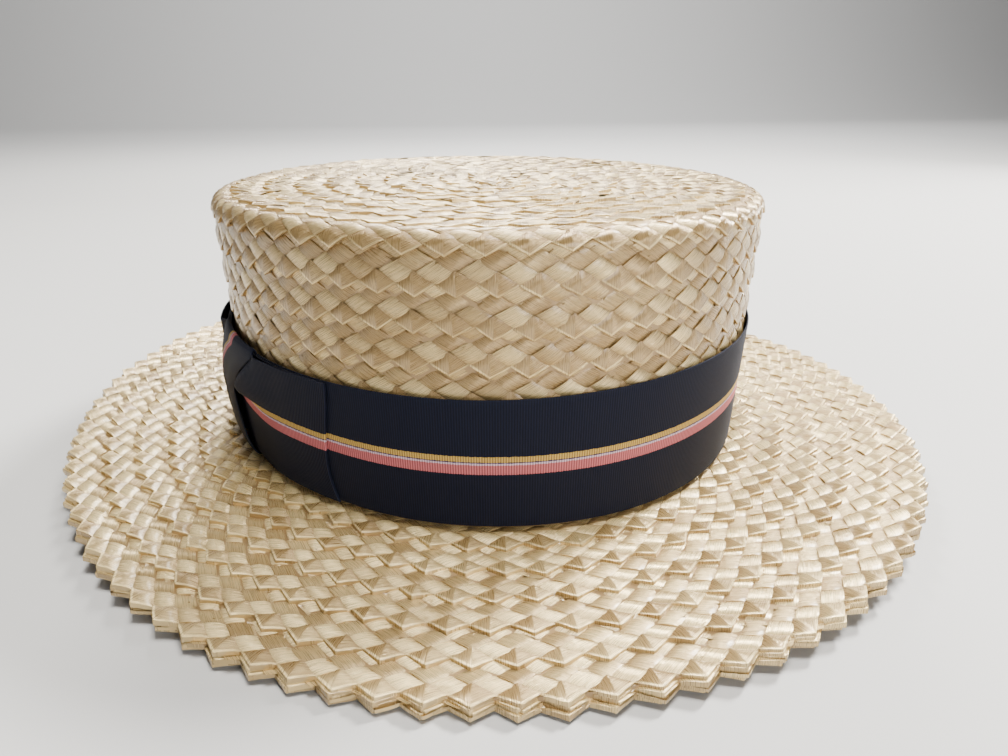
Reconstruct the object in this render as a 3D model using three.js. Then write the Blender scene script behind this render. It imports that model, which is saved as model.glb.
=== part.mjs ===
// A straw boater hat. The crown and the flat brim are sewn from overlapping rows of saw-toothed braid,
// a second row faces the brim's edge from below, and a striped ribbon with a flat bow goes round the foot
// of the crown. Millimetres, +Z up, +Y towards the front of the hat and -X towards the wearer's left.
// The origin is on the surface that the brim rests on, below the middle of the brim.

import * as THREE from "three";

// The head opening, measured inside the crown at its foot.
const HEAD_HALF_WIDTH = 83.6;
const HEAD_HALF_LENGTH = 99.2;

// The crown. Its height is from the brim's upper face to the tip.
const CROWN_HEIGHT = 80.7;
const CROWN_WALL = 3;
const CROWN_FLARE = 4.5;
const SHOULDER_RADIUS = 5;

// The brim, from the crown's outside to the points of the teeth, and the facing row under its edge.
// The brim is a little wider on the right and in front, so its edge's middle is off the crown's.
const BRIM_WIDTH = 59.1;
const BRIM_THICKNESS = 1.8;
const BRIM_SHIFT_RIGHT = 1.6;
const BRIM_SHIFT_FRONT = 0.9;
const FACING_WIDTH = 17;
const FACING_THICKNESS = 1.1;
const FACING_REACH = 0.5;

// The braid: each row's toothed edge stands a little over the row that it overlaps.
const ROW_PITCH = 10;
const ROW_STEP = 0.7;
const TOOTH_PITCH = 10;
const TOOTH_DEPTH = 3;
const SHOULDER_ROW_DROP = 0.9;

// The ribbon, and how far it stands clear of the brim.
const RIBBON_WIDTH = 37.8;
const RIBBON_THICKNESS = 1;
const RIBBON_LIFT = 1.6;

// The bow: where its knot is, counted round from +X, how wide it is and how far it stands out from the
// ribbon, and how far each loop reaches from the knot's middle.
const KNOT_BEARING = THREE.MathUtils.degToRad(-171);
const KNOT_HALF_WIDTH = 18;
const KNOT_STAND = 5.2;
const LOOP_LENGTH = 69;
const FOLD_RADIUS = 1.3;

// Pieces that lie on each other keep this much air.
const GAP = 0.3;

// How finely round shapes are cut. Walks along the ribbon take short steps of their own.
const CROWN_SEGMENTS = 48;
const RIBBON_SEGMENTS = 96;
const SHOULDER_STEPS = 4;
const FOLD_OUTER_STEPS = 6;
const FOLD_INNER_STEPS = 4;
const WALK_STEPS = 40;

// A row's edge and a bend of the shoulder that are closer than this are one ring.
const LEAST_RING_SPACING = 1;

// The brim's edge rises and falls a little round the hat. Lift is a share of the brim's width.
const EDGE_WAVES = [
  { cycles: 1, lift: 0.04, highest: THREE.MathUtils.degToRad(161) },
  { cycles: 2, lift: 0.066, highest: THREE.MathUtils.degToRad(-28) },
];

// How far a loop stands off the ribbon, as a share of the knot's stand, along its length.
const LOOP_STATIONS = [
  { along: 0.03, stand: 0.6 },
  { along: 0.28, stand: 0.7 },
  { along: 0.42, stand: 0.72 },
  { along: 0.6, stand: 0.64 },
  { along: 1, stand: 0.56 },
];
const LOOP_STEPS = 9;

// The gather beside the knot: how flat the loop is pressed at each height of the ribbon.
const GATHER_ROWS = [
  { height: 0, pressed: 1 },
  { height: 0.22, pressed: 0.6 },
  { height: 0.45, pressed: 0.9 },
  { height: 0.68, pressed: 0 },
  { height: 1, pressed: 1 },
];
const GATHER_END = 0.65;

// The knot, from the bottom up: how far it leans towards the back of the hat, as a share of its
// half-width, and how far it stands out.
const KNOT_ROWS = [
  { height: 0, lean: 0.35, stand: 0.8 },
  { height: 0.25, lean: 0.1, stand: 1 },
  { height: 0.55, lean: 0, stand: 1 },
  { height: 0.8, lean: 0.5, stand: 0.9 },
  { height: 1, lean: 0.9, stand: 0.8 },
];
const KNOT_COPIES = 5;

const BASE_HALF_WIDTH = HEAD_HALF_WIDTH + CROWN_WALL;
const BASE_HALF_LENGTH = HEAD_HALF_LENGTH + CROWN_WALL;

// The point at bearing t on the crown's foot oval, grown by out and raised to z above the brim's upper face.
function ovalPoint(t, out, z) {
  return new THREE.Vector3(
    (BASE_HALF_WIDTH + out) * Math.cos(t),
    (BASE_HALF_LENGTH + out) * Math.sin(t),
    z,
  );
}

function ovalRing(count, out, z) {
  return Array.from({ length: count }, (_, i) => ovalPoint((2 * Math.PI * i) / count, out, z));
}

// The triangles between two rings. The second ring has as many points as the first, or twice as many.
function joinRings(a, countA, b, countB) {
  const faces = [];
  for (let i = 0; i < Math.max(countA, countB); i++) {
    const a0 = a + Math.floor((i * countA) / Math.max(countA, countB));
    const a1 = a + (Math.floor(((i + 1) * countA) / Math.max(countA, countB)) % countA);
    const b0 = b + Math.floor((i * countB) / Math.max(countA, countB));
    const b1 = b + (Math.floor(((i + 1) * countB) / Math.max(countA, countB)) % countB);
    if (a0 !== a1) faces.push(a0, a1, b1);
    if (b0 !== b1) faces.push(a0, b1, b0);
  }
  return faces;
}

// A solid whose skin runs through rings of points. The last ring is joined to the first, or each end is
// closed to its middle.
function ringSolid(rings, closedEnds) {
  const points = rings.flat();
  const starts = [];
  rings.reduce((at, ring) => (starts.push(at), at + ring.length), 0);
  const faces = [];
  const joins = closedEnds ? rings.length - 1 : rings.length;
  for (let k = 0; k < joins; k++) {
    const next = (k + 1) % rings.length;
    faces.push(...joinRings(starts[k], rings[k].length, starts[next], rings[next].length));
  }
  if (closedEnds) {
    for (const [k, turned] of [[0, true], [rings.length - 1, false]]) {
      const middle = points.length;
      const count = rings[k].length;
      points.push(rings[k].reduce((sum, p) => sum.add(p), new THREE.Vector3()).divideScalar(count));
      for (let i = 0; i < count; i++) {
        const here = starts[k] + i;
        const next = starts[k] + ((i + 1) % count);
        faces.push(...(turned ? [middle, next, here] : [middle, here, next]));
      }
    }
  }
  return solid(points, faces);
}

// A solid between copies of one closed outline. place(point, k) puts an outline point in its k-th copy,
// and mirrored says that the placing turns the outline over.
function outlineSolid(outline, copies, place, mirrored) {
  const loop = THREE.ShapeUtils.isClockWise(outline) ? [...outline].reverse() : outline;
  const points = [];
  for (let k = 0; k < copies; k++) points.push(...loop.map((p) => place(p, k)));
  const count = loop.length;
  const faces = [];
  for (let at = 0; at < (copies - 1) * count; at += count) {
    faces.push(...joinRings(at, count, at + count, count));
  }
  const flat = loop.map(({ x, y }) => new THREE.Vector2(x, y));
  for (const [a, b, c] of THREE.ShapeUtils.triangulateShape(flat, [])) {
    faces.push(b, a, c);
    faces.push(...[a, b, c].map((v) => v + (copies - 1) * count));
  }
  return solid(points, mirrored ? faces.reverse() : faces);
}

function solid(points, faces) {
  const geometry = new THREE.BufferGeometry().setFromPoints(points);
  geometry.setIndex(faces);
  geometry.computeVertexNormals();
  return geometry;
}

// The crown's outside, seen from the side: flat tip, round shoulder, then a wall that leans in to the
// foot.
const SHOULDER_OUT = CROWN_FLARE - SHOULDER_RADIUS;
const SHOULDER_Z = CROWN_HEIGHT - SHOULDER_RADIUS;
const SHOULDER_FROM_FOOT = Math.hypot(SHOULDER_OUT, SHOULDER_Z);
const WALL_LEAN =
  Math.atan2(SHOULDER_OUT, SHOULDER_Z) + Math.asin(SHOULDER_RADIUS / SHOULDER_FROM_FOOT);
const TIP_RUN = BASE_HALF_WIDTH + SHOULDER_OUT;
const SHOULDER_TURN = Math.PI / 2 + WALL_LEAN;
const SHOULDER_RUN = SHOULDER_RADIUS * SHOULDER_TURN;
const WALL_RUN = Math.sqrt(SHOULDER_FROM_FOOT ** 2 - SHOULDER_RADIUS ** 2);

const wallOut = (z) => z * Math.tan(WALL_LEAN);

// The point at a run from the middle of the tip, sunk below the outside by an inset.
function crownPoint(run, inset) {
  if (run <= TIP_RUN) return { out: run - BASE_HALF_WIDTH, z: CROWN_HEIGHT - inset };
  const turn = Math.min((run - TIP_RUN) / SHOULDER_RADIUS, SHOULDER_TURN);
  const down = Math.max(run - TIP_RUN - SHOULDER_RUN, 0);
  return {
    out: SHOULDER_OUT + (SHOULDER_RADIUS - inset) * Math.sin(turn) - down * Math.sin(WALL_LEAN),
    z: SHOULDER_Z + (SHOULDER_RADIUS - inset) * Math.cos(turn) - down * Math.cos(WALL_LEAN),
  };
}

// The crown: stepped rows outside, smooth inside, open below. The rows' edges lie flat on the tip.
function crownGeometry() {
  const shoulderEnd = TIP_RUN + SHOULDER_RUN;
  const firstSideEdge = shoulderEnd + SHOULDER_ROW_DROP - TOOTH_DEPTH / 2;
  const foot = shoulderEnd + WALL_RUN;
  const edges = [];
  for (let run = firstSideEdge % ROW_PITCH; run < foot - ROW_PITCH / 4; run += ROW_PITCH) {
    if (run > ROW_PITCH / 4) edges.push(run);
  }
  const bends = Array.from(
    { length: SHOULDER_STEPS },
    (_, i) => TIP_RUN + (SHOULDER_RUN * i) / SHOULDER_STEPS,
  );
  const outside = [];
  let start = edges[0] / 2;
  for (const edge of [...edges, foot]) {
    const flatFrom = edge < TIP_RUN ? Math.max(edge - TOOTH_DEPTH, (start + edge) / 2) : edge;
    const insetAt = (run) => ROW_STEP * (1 - (run - start) / (edge - start));
    outside.push(crownPoint(start, ROW_STEP));
    if (flatFrom < edge) outside.push(crownPoint(flatFrom, 0));
    for (const bend of bends) {
      if (bend - start > LEAST_RING_SPACING && edge - bend > LEAST_RING_SPACING) {
        outside.push(crownPoint(bend, insetAt(bend)));
      }
    }
    outside.push(crownPoint(edge, edge === foot ? ROW_STEP : 0));
    start = edge;
  }
  const inside = [...bends, shoulderEnd].map((run) => crownPoint(run, CROWN_WALL));
  const insideTip = crownPoint(edges[0] / 2, CROWN_WALL);
  const seat = { out: wallOut(GAP), z: GAP };
  outside[outside.length - 1] = { out: seat.out - ROW_STEP, z: seat.z };
  const rings = [
    ...outside,
    { out: seat.out - CROWN_WALL, z: seat.z },
    ...inside.reverse(),
    insideTip,
  ].map(({ out, z }) => ovalRing(CROWN_SEGMENTS, out, z));
  return ringSolid(rings.reverse(), true);
}

// The lift of the brim at bearing t, growing from the end of its flat first row out to its edge.
function brimLift(t, out) {
  const share = Math.max(out - ROW_PITCH, 0) / (BRIM_WIDTH - ROW_PITCH);
  const wave = EDGE_WAVES.reduce((sum, w) => sum + w.lift * Math.cos(w.cycles * (t - w.highest)), 0);
  return BRIM_WIDTH * wave * share;
}

const EDGE_MEAN_RADIUS =
  Math.hypot(BASE_HALF_WIDTH + BRIM_WIDTH, BASE_HALF_LENGTH + BRIM_WIDTH) / Math.SQRT2;
const EDGE_TEETH = Math.round((2 * Math.PI * EDGE_MEAN_RADIUS) / TOOTH_PITCH);

function brimPoint(t, out, z) {
  const share = out / BRIM_WIDTH;
  const shift = new THREE.Vector3(BRIM_SHIFT_RIGHT * share, BRIM_SHIFT_FRONT * share, brimLift(t, out));
  return ovalPoint(t, out, z).add(shift);
}

const brimRing = (out, z) =>
  Array.from({ length: EDGE_TEETH }, (_, i) => brimPoint((2 * Math.PI * i) / EDGE_TEETH, out, z));

// A ring with a notch and a point for each tooth.
const toothedRing = (out, z) =>
  Array.from({ length: 2 * EDGE_TEETH }, (_, i) =>
    brimPoint((Math.PI * i) / EDGE_TEETH, i % 2 ? out : out - TOOTH_DEPTH, z),
  );

// The brim: stepped rows above, flat below, toothed at the edge.
function brimGeometry() {
  const above = [];
  const lastEdge = BRIM_WIDTH - ROW_PITCH - TOOTH_DEPTH / 2;
  for (let edge = lastEdge; edge > ROW_PITCH / 2; edge -= ROW_PITCH) {
    above.unshift(brimRing(edge, 0), brimRing(edge, -ROW_STEP));
  }
  const rings = [
    brimRing(-CROWN_WALL, 0),
    ...above,
    toothedRing(BRIM_WIDTH, 0),
    toothedRing(BRIM_WIDTH, -BRIM_THICKNESS),
    brimRing(ROW_PITCH, -BRIM_THICKNESS),
    brimRing(-CROWN_WALL, -BRIM_THICKNESS),
  ];
  return ringSolid(rings.reverse(), false);
}

// The facing row under the brim's edge.
function facingGeometry() {
  const top = -BRIM_THICKNESS - GAP;
  const bottom = top - FACING_THICKNESS;
  const inner = BRIM_WIDTH - FACING_WIDTH;
  const outer = BRIM_WIDTH + FACING_REACH;
  const rings = [
    brimRing(inner, top),
    toothedRing(outer, top),
    toothedRing(outer, bottom),
    brimRing(inner, bottom),
  ];
  return ringSolid(rings.reverse(), false);
}

// The ribbon lies on the crown's row edges and leans with its wall.
const RIBBON_INSIDE = GAP;
const RIBBON_OUTSIDE = RIBBON_INSIDE + RIBBON_THICKNESS;
const RIBBON_TOP = RIBBON_LIFT + RIBBON_WIDTH;

function ribbonGeometry() {
  const ring = (stand, z) => ovalRing(RIBBON_SEGMENTS, wallOut(z) + stand, z);
  const rings = [
    ring(RIBBON_INSIDE, RIBBON_TOP),
    ring(RIBBON_OUTSIDE, RIBBON_TOP),
    ring(RIBBON_OUTSIDE, RIBBON_LIFT),
    ring(RIBBON_INSIDE, RIBBON_LIFT),
  ];
  return ringSolid(rings.reverse(), false);
}

// The bearing reached from the knot by going along the ribbon's outside, towards the back of the hat if
// the distance is positive.
function bearingAlong(distance) {
  let t = KNOT_BEARING;
  for (let i = 0; i < WALK_STEPS; i++) {
    const across = (BASE_HALF_WIDTH + RIBBON_OUTSIDE) * Math.sin(t);
    const lengthwise = (BASE_HALF_LENGTH + RIBBON_OUTSIDE) * Math.cos(t);
    t += distance / WALK_STEPS / Math.hypot(across, lengthwise);
  }
  return t;
}

// A point of the bow: along the ribbon from the knot, standing off it, at height z.
function bowPoint(along, stand, z) {
  return ovalPoint(bearingAlong(along), wallOut(z) + RIBBON_OUTSIDE + stand, z);
}

const LOOP_LOW = GAP + RIBBON_THICKNESS + GAP;
const LOOP_HIGH = RIBBON_TOP - GAP;

function loopStand(along) {
  const next = Math.max(1, LOOP_STATIONS.findIndex((station) => station.along >= along));
  const [from, to] = [LOOP_STATIONS[next - 1], LOOP_STATIONS[next]];
  return THREE.MathUtils.mapLinear(along, from.along, to.along, from.stand, to.stand);
}

// One loop of the bow: the ribbon goes out along the band, folds back at the loop's end and returns to
// the knot. Each point of its outline knows how much of its stand the gather can press away.
function loopGeometry(side) {
  const underTop = GAP + RIBBON_THICKNESS;
  const near = LOOP_STATIONS[0].along * LOOP_LENGTH;
  const leg = Array.from({ length: LOOP_STEPS + 1 }, (_, i) => {
    const x = THREE.MathUtils.lerp(near, LOOP_LENGTH - 2 * FOLD_RADIUS, i / LOOP_STEPS);
    return { x, stand: loopStand(x / LOOP_LENGTH) * KNOT_STAND };
  });
  const under = (y) => leg.map(({ x }) => ({ x, y, free: 0 }));
  const over = (depth) =>
    leg.map(({ x, stand }) => ({ x, y: stand - depth, free: stand - 2 * underTop }));
  const fold = (radius, steps) =>
    Array.from({ length: steps + 1 }, (_, i) => {
      const turn = (Math.PI * i) / steps - Math.PI / 2;
      const x = LOOP_LENGTH - FOLD_RADIUS + radius * Math.cos(turn);
      return { x, y: GAP + FOLD_RADIUS + radius * Math.sin(turn), free: 0 };
    });
  const outline = [
    ...under(GAP),
    ...fold(FOLD_RADIUS, FOLD_OUTER_STEPS),
    ...over(0).reverse(),
    ...over(RIBBON_THICKNESS),
    ...fold(FOLD_RADIUS - RIBBON_THICKNESS, FOLD_INNER_STEPS).reverse(),
    ...under(underTop).reverse(),
  ];
  const place = (p, k) => {
    const { height, pressed } = GATHER_ROWS[k];
    const closeness = Math.max(0, 1 - p.x / (GATHER_END * LOOP_LENGTH));
    const stand = p.y - Math.min(1, 2 * closeness) * pressed * p.free;
    return bowPoint(side * p.x, stand, THREE.MathUtils.lerp(LOOP_LOW, LOOP_HIGH, height));
  };
  return outlineSolid(outline, GATHER_ROWS.length, place, side > 0);
}

// The knot: a ribbon across the middle of the bow, turned in to the band above and below.
function knotGeometry() {
  const top = RIBBON_TOP + GAP + RIBBON_THICKNESS;
  const bottom = GAP;
  const skin = (depth) =>
    KNOT_ROWS.map(({ height, lean, stand }) => ({
      x: stand * KNOT_STAND - depth,
      y: THREE.MathUtils.lerp(bottom + depth, top - depth, height),
      lean,
    }));
  const [lowest, highest] = [KNOT_ROWS[0].lean, KNOT_ROWS[KNOT_ROWS.length - 1].lean];
  const outline = [
    { x: -RIBBON_THICKNESS, y: top, lean: highest },
    { x: -RIBBON_THICKNESS, y: top - RIBBON_THICKNESS, lean: highest },
    ...skin(RIBBON_THICKNESS).reverse(),
    { x: GAP, y: bottom + RIBBON_THICKNESS, lean: lowest },
    { x: GAP, y: bottom, lean: lowest },
    ...skin(0),
  ];
  const place = (p, k) => {
    const across = (2 * k) / (KNOT_COPIES - 1) - 1;
    return bowPoint((across + p.lean) * KNOT_HALF_WIDTH, p.x, p.y);
  };
  return outlineSolid(outline, KNOT_COPIES, place, true);
}

const straw = new THREE.MeshStandardMaterial({ color: 0xd9bf8e, roughness: 0.45, metalness: 0 });
const facingStraw = new THREE.MeshStandardMaterial({ color: 0xcfb27f, roughness: 0.5, metalness: 0 });
const ribbon = new THREE.MeshStandardMaterial({ color: 0x15161b, roughness: 0.8, metalness: 0 });

const hat = new THREE.Group();

function addPiece(name, geometry, material) {
  const mesh = new THREE.Mesh(geometry, material);
  mesh.name = name;
  hat.add(mesh);
}

addPiece("crown", crownGeometry(), straw);
addPiece("brim", brimGeometry(), straw);
addPiece("brim_facing", facingGeometry(), facingStraw);
addPiece("hatband", ribbonGeometry(), ribbon);
addPiece("bow_rear_loop", loopGeometry(1), ribbon);
addPiece("bow_front_loop", loopGeometry(-1), ribbon);
addPiece("bow_knot", knotGeometry(), ribbon);

// The hat stands on the lowest teeth of its facing row, with the middle of the brim over the origin.
const extent = new THREE.Box3().setFromObject(hat);
const middle = extent.getCenter(new THREE.Vector3());
hat.position.set(-middle.x, -middle.y, -extent.min.z);

export default hat;
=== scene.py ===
"""The looks of a straw boater hat: plaited straw rows, a striped grosgrain ribbon and its bow.

Lengths are in millimetres while a shape is worked out, and in metres on the finished meshes. A surface is a
function of the bearing round the crown, a place across the rows and a height above the surface.
"""

import math
from collections import namedtuple

import bpy
import numpy as np
from mathutils import Matrix, Vector


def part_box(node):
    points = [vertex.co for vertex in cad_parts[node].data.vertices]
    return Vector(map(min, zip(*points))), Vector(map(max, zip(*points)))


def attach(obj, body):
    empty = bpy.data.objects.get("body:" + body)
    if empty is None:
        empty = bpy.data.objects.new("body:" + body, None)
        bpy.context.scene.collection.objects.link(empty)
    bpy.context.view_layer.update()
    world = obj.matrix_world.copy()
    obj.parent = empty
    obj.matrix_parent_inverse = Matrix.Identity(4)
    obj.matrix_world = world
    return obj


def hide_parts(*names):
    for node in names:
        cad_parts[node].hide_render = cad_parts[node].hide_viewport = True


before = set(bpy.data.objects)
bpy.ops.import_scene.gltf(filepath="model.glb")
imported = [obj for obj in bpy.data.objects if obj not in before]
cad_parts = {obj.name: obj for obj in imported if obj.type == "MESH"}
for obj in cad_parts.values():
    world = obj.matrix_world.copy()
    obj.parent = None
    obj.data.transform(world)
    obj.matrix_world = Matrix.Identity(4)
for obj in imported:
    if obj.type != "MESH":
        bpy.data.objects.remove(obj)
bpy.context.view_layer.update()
MM = 0.001

# The CAD model's own sizes, from its nodes' boxes.
CROWN_LOW, CROWN_HIGH = (1000 * np.array(c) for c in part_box("crown"))
BAND_LOW, BAND_HIGH = (1000 * np.array(c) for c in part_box("hatband"))
BRIM_LOW, BRIM_HIGH = (1000 * np.array(c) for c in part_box("brim"))

# What the nodes' boxes don't tell, as in the CAD model.
WALL_GAP = 0.3
CROWN_FLARE = 4.5
SHOULDER_RADIUS = 5.0
CROWN_WALL = 3.0
BRIM_THICKNESS = 1.8
FACING_BOTTOM = 3.2
FACING_WIDTH = 17.0
FACING_REACH = 0.5
SHOULDER_ROW_DROP = 0.9
KNOT_BEARING = math.radians(-171)

# The brim's edge rises and falls: how often round the hat, how much for its width, and where it is highest.
EDGE_WAVES = ((1, 0.04, math.radians(161)), (2, 0.066, math.radians(-28)))

# The brim climbs a little where it meets the crown, between these distances from it.
FOOT_RISE = 0.9
FOOT_RISE_FROM, FOOT_RISE_TO = 8.0, 1.5

CROWN_MIDDLE = (CROWN_LOW + CROWN_HIGH) / 2
BRIM_MIDDLE = (BRIM_LOW + BRIM_HIGH) / 2
BASE_Z = CROWN_LOW[2] - WALL_GAP
CROWN_HEIGHT = CROWN_HIGH[2] - BASE_Z
BASE_X = (CROWN_HIGH[0] - CROWN_LOW[0]) / 2 - CROWN_FLARE
BASE_Y = (CROWN_HIGH[1] - CROWN_LOW[1]) / 2 - CROWN_FLARE
BRIM_WIDTH = (BRIM_HIGH[0] - BRIM_LOW[0]) / 2 - BASE_X
RIBBON_LOW = BAND_LOW[2] - BASE_Z
RIBBON_WIDTH = BAND_HIGH[2] - BAND_LOW[2]
RIBBON_TOP = RIBBON_LOW + RIBBON_WIDTH

# The braid, as seen on one row: teeth along its edge, then slanting strands over and under each other.
ROW_PITCH = 10.0
TOOTH_PITCH = 9.8
LEAST_TEETH = 6
DIAMOND = 2.95
STRAND_THICKNESS = 0.4
ROW_THICKNESS = 0.62
TIP_ROW_THICKNESS = 0.24
SIDE_ROW_SINK = 0.25

# How finely ways round the hat are measured, and how finely the sheets under the strands are cut.
ROW_STATIONS = 1441
BAND_STATIONS = 2881
BACKING_COLUMNS = 144

FIBRE_MAP = "Fibre"
SHARP_ANGLE = math.radians(48)


def smooth(low, high, x):
    share = np.clip((x - low) / (high - low), 0, 1)
    return share * share * (3 - 2 * share)


# Surfaces


def oval(theta, out, z):
    return np.stack([
        CROWN_MIDDLE[0] + (BASE_X + out) * np.cos(theta),
        CROWN_MIDDLE[1] + (BASE_Y + out) * np.sin(theta),
        BASE_Z + z + 0 * theta,
    ], -1)


def brim_lift(theta, out):
    share = np.maximum(out - ROW_PITCH, 0) / (BRIM_WIDTH - ROW_PITCH)
    wave = sum(lift * np.cos(cycles * (theta - highest)) for cycles, lift, highest in EDGE_WAVES)
    return BRIM_WIDTH * wave * share


def brim_top(theta, out, height):
    foot = FOOT_RISE * smooth(FOOT_RISE_FROM, FOOT_RISE_TO, out)
    point = oval(theta, out, brim_lift(theta, out) + foot + height)
    share = out / BRIM_WIDTH
    point[..., 0] += share * (BRIM_MIDDLE[0] - CROWN_MIDDLE[0])
    point[..., 1] += share * (BRIM_MIDDLE[1] - CROWN_MIDDLE[1])
    return point


def brim_below(theta, out, height):
    return brim_top(theta, out, -BRIM_THICKNESS - height)


def facing_below(theta, out, height):
    return brim_top(theta, out, -FACING_BOTTOM - height)


SHOULDER_OUT = CROWN_FLARE - SHOULDER_RADIUS
SHOULDER_Z = CROWN_HEIGHT - SHOULDER_RADIUS
WALL_LEAN = math.atan2(SHOULDER_OUT, SHOULDER_Z) + math.asin(
    SHOULDER_RADIUS / math.hypot(SHOULDER_OUT, SHOULDER_Z)
)
TIP_RUN = BASE_X + SHOULDER_OUT
SHOULDER_TURN = math.pi / 2 + WALL_LEAN
SHOULDER_RUN = SHOULDER_RADIUS * SHOULDER_TURN
SHOULDER_END = TIP_RUN + SHOULDER_RUN
WALL_RUN = math.sqrt(SHOULDER_OUT**2 + SHOULDER_Z**2 - SHOULDER_RADIUS**2)
FOOT_RUN = TIP_RUN + SHOULDER_RUN + WALL_RUN
INSIDE_DEPTH = CROWN_WALL * 0.8


def wall_out(z):
    return z * math.tan(WALL_LEAN)


def crown_outside(theta, run, height):
    """A point over the crown: run goes from the middle of the tip over the shoulder and down the wall."""
    turn = np.clip((run - TIP_RUN) / SHOULDER_RADIUS, 0, SHOULDER_TURN)
    down = np.maximum(run - TIP_RUN - SHOULDER_RUN, 0)
    across = np.minimum(run, TIP_RUN) - BASE_X
    reach = SHOULDER_RADIUS + height
    out = across + reach * np.sin(turn) - down * math.sin(WALL_LEAN)
    z = SHOULDER_Z + reach * np.cos(turn) - down * math.cos(WALL_LEAN)
    return oval(theta, out, z)


def crown_inside(theta, run, height):
    return crown_outside(theta, run, -INSIDE_DEPTH - height)


def lengths_along(points):
    """How far along a line of points each one is."""
    steps = np.linalg.norm(np.diff(points, axis=0), axis=1)
    return np.concatenate([[0], np.cumsum(steps)])


def oval_table(surface, across):
    """Bearings, and how far round the oval each one is."""
    theta = np.linspace(-math.pi, math.pi, ROW_STATIONS)
    points = surface(theta, np.full_like(theta, across), np.zeros_like(theta))
    return theta, lengths_along(points)


# Meshes


def mesh_object(name, points, faces, material, uv, tone=None, painted_shade=None):
    mesh = bpy.data.meshes.new(name)
    faces = np.asarray(faces)
    corners = faces.shape[1]
    mesh.vertices.add(len(points))
    mesh.vertices.foreach_set("co", (np.asarray(points) * MM).astype(np.float32).ravel())
    mesh.loops.add(faces.size)
    mesh.loops.foreach_set("vertex_index", faces.astype(np.int32).ravel())
    mesh.polygons.add(len(faces))
    mesh.polygons.foreach_set("loop_start", np.arange(0, faces.size, corners, dtype=np.int32))
    mesh.polygons.foreach_set("loop_total", np.full(len(faces), corners, np.int32))
    mesh.materials.append(material)
    mesh.update(calc_edges=True)
    mesh.polygons.foreach_set("use_smooth", np.ones(len(mesh.polygons), bool))
    mesh.uv_layers.new(name=FIBRE_MAP).data.foreach_set("uv", np.asarray(uv, np.float32).ravel())
    # The tone and the painted shade are kept on the mesh as attributes.
    for mark, domain, values in (("tone", "CORNER", tone), ("painted_shade", "POINT", painted_shade)):
        if values is not None:
            attribute = mesh.attributes.new(mark, "FLOAT", domain)
            attribute.data.foreach_set("value", np.asarray(values, np.float32).ravel())
    mesh.set_sharp_from_angle(angle=SHARP_ANGLE)
    obj = bpy.data.objects.new(name, mesh)
    bpy.context.scene.collection.objects.link(obj)
    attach(obj, "root")
    return obj


def grid_triangles(rows, columns):
    """Triangles of a grid of points, cut along the diagonal from low to high indices."""
    i, j = np.meshgrid(np.arange(rows - 1), np.arange(columns - 1), indexing="ij")
    a = (i * columns + j).ravel()
    b, c, d = a + columns, a + columns + 1, a + 1
    return np.concatenate([np.stack([a, b, c], 1), np.stack([a, c, d], 1)])


# A strand between two crossings, along and across its length, and the height lost at each place.
STRAND_ALONG = np.array([-1.26, -1.0, -0.6, 0.0, 0.6, 1.0, 1.26])
STRAND_ACROSS = np.array([-1.0, -1.0, -0.86, 0.0, 0.86, 1.0, 1.0])
STRAND_ALONG_DROP = np.array([0.8, 0.5, 0.16, 0.0, 0.16, 0.5, 0.8])
STRAND_ACROSS_DROP = np.array([0.5, 0.14, 0.05, 0.0, 0.05, 0.14, 0.5])

# A tooth, from its outer edges inwards, and the height lost there: a rolled rim, a hollow, then the facets.
TOOTH_PLACES = np.array([-1.0, -1.0, -0.95, -0.88, -0.8, -0.72, 0.0, 0.6, 1.15])
TOOTH_DROP = np.array([1.05, 0.16, -0.02, -0.06, 0.02, 0.1, 0.08, 0.1, 0.5])
TOOTH_SINK = 0.12
# Up to here from its outer edge a tooth takes the rim's painted highlight.
RIM_HIGHLIGHT_EDGE = -0.77

# The ridge where a tooth's two facets meet: its height, how far it falls off to each side, and where it
# starts and is full behind the tooth's tip.
TOOTH_RIDGE = 0.3
RIDGE_REACH = 1.3
RIDGE_FROM, RIDGE_FULL = -1.0, -0.6

# How large the fibres are on the facet where they run inwards, and how far apart the two facets' fibres lie.
FACET_FIBRE_SIZE = 0.7
FACET_FIBRE_SLIP = 7

# A place that has lost this much height gets the full painted shade of a recess, and the teeth's outer walls
# get a little of it.
FULL_SHADE_DROP = 0.7
TOOTH_WALL_SHADE = 0.15

# The places kept of all these on the sides that face the head or the table, where the braid is plainer.
ALL_PLACES = slice(None)
PLAIN_STRAND = np.array([0, 2, 4, 6])
PLAIN_TOOTH = np.array([0, 1, 5, 6, 8])

# How much lighter or darker than its neighbours each part of the braid is. The rising strands are painted
# lighter as a sheen, and the falling strands and the teeth's facets darker as painted shade, for how the
# light catches fibres that run different ways. The rims are painted lighter as a highlight on the rolled
# edge.
PAINTED_SHEEN_RISING = 0.34
PAINTED_SHADE_FALLING = -0.14
PAINTED_SHADE_FACET_LEFT = -0.38
PAINTED_SHADE_FACET_RIGHT = -0.24
PAINTED_HIGHLIGHT_RIM = 0.45
TONE_WALL = -0.15
TONE_BACKING = 0.1
EVENNESS = 4.5

# How much the cells differ: turn, size, place along and across the row, tilt, and place in the fibres'
# pattern.
TURN_SPREAD = 0.03
SIZE_SPREAD = 0.025
ALONG_SPREAD = 0.12
ACROSS_SPREAD = 0.09
TILT_SPREAD = 0.1
FIBRE_SPREAD = 40

# A row wanders from its line in waves: how many go round the hat, their height, and the range of their
# phases.
WAVE_COUNTS = (3, 5, 8, 13, 21)
WAVE_SPREAD = 0.18
WAVE_PHASES = 6.3

# A row slopes down by its thickness between these distances behind its edge, under the row that covers it.
SLOPE_FROM, SLOPE_TO = 0.4 * DIAMOND, 3.3 * DIAMOND

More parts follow.
